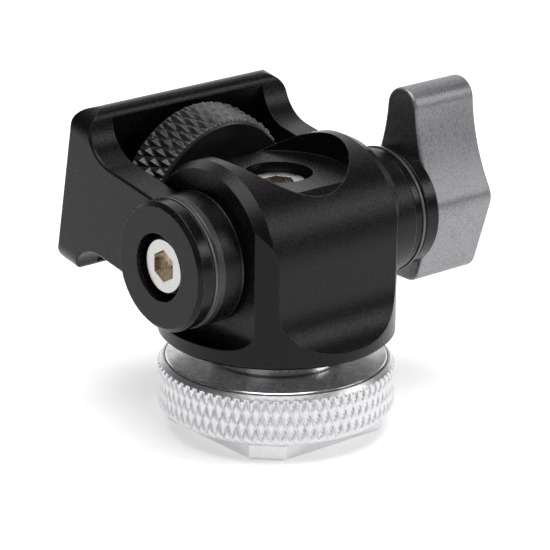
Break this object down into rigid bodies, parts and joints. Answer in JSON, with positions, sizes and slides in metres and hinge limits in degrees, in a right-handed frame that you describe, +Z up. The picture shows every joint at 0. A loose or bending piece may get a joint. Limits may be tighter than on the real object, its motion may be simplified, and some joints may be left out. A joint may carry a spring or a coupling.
{
  "type": "swivel tilt bracket",
  "caption": "Swivel and tilt bracket: square shoe foot with knurled lock wheel, slotted black body, forked yoke with camera-screw plate, and wing clamp knob.",
  "frame": {"origin": "centre of the shoe foot's bottom face, on the swivel axis", "axes": "+Z up the swivel axis, +X along the tilt axis towards the wing knob, +Y towards the plate of the yoke as stored"},
  "size_m": [0.0412, 0.0373, 0.0333],
  "materials": {
    "silver_anodised": "bright satin anodised, diamond knurled rim",
    "black_anodised": "black anodised, bead blasted with smoother milled flats",
    "grey_anodised": "titanium grey anodised, bead blasted",
    "stainless": "turned stainless steel",
    "spring_steel": "plain spring steel",
    "nylon": "moulded matte nylon",
    "bronze": "sintered bronze",
    "rubber": "matte moulded rubber"
  },
  "bodies": {
    "shoe": {"shoe_foot": "silver_anodised"},
    "base": {"base_flange": "silver_anodised", "lock_snap_ring": "spring_steel", "swivel_sleeve": "stainless", "swivel_screw": "stainless"},
    "lock_wheel": {"lock_wheel": "silver_anodised"},
    "swivel_body": {"body": "black_anodised", "disc_spring": "spring_steel", "spring_seat": "stainless", "pivot_cap": "black_anodised", "pivot_screw": "stainless", "cap_washer_steel": "stainless", "cap_washer_nylon": "nylon", "cap_arm_washer": "nylon", "knob_arm_washer": "nylon", "pivot_sleeve": "stainless", "knob_spacer": "black_anodised", "knob_ring": "stainless"},
    "yoke": {"yoke": "black_anodised", "device_pad": "rubber", "cap_eye_bush": "bronze", "knob_eye_bush": "bronze", "thumb_washer": "nylon"},
    "thumbwheel": {"thumbwheel": "black_anodised", "camera_screw": "stainless", "screw_clip": "spring_steel"},
    "collar": {"knob_collar": "black_anodised"},
    "wing_knob": {"wing_knob": "grey_anodised", "knob_stud": "stainless"}
  },
  "joints": [
    {"name": "clamp_lift", "type": "slide", "parent": "shoe", "child": "base", "axis": [0, 0, 1], "range_m": [0, 0.0022]},
    {"name": "lock_wheel_turn", "type": "hinge", "parent": "base", "child": "lock_wheel", "pos_m": [0, 0, 0], "axis": [0, 0, 1], "range_deg": [0, 792]},
    {"name": "swivel", "type": "hinge", "parent": "base", "child": "swivel_body", "pos_m": [0, 0, 0], "axis": [0, 0, 1], "continuous": true},
    {"name": "tilt", "type": "hinge", "parent": "swivel_body", "child": "yoke", "pos_m": [0, 0, 0.0205], "axis": [1, 0, 0], "range_deg": [-2.5, 161.5]},
    {"name": "thumbwheel_turn", "type": "hinge", "parent": "yoke", "child": "thumbwheel", "pos_m": [0, 0, 0.0205], "axis": [0, 0.9848, 0.1736], "continuous": true},
    {"name": "collar_slide", "type": "slide", "parent": "swivel_body", "child": "collar", "axis": [1, 0, 0], "range_m": [0, 0.0008]},
    {"name": "wing_knob_turn", "type": "hinge", "parent": "collar", "child": "wing_knob", "pos_m": [0, 0, 0.0205], "axis": [1, 0, 0], "range_deg": [0, 360]}
  ],
  "couplings": [
    {"joint": "lock_wheel_turn", "follows": "clamp_lift", "rad_per_m": 6283.2},
    {"joint": "wing_knob_turn", "follows": "collar_slide", "rad_per_m": 7854}
  ]
}
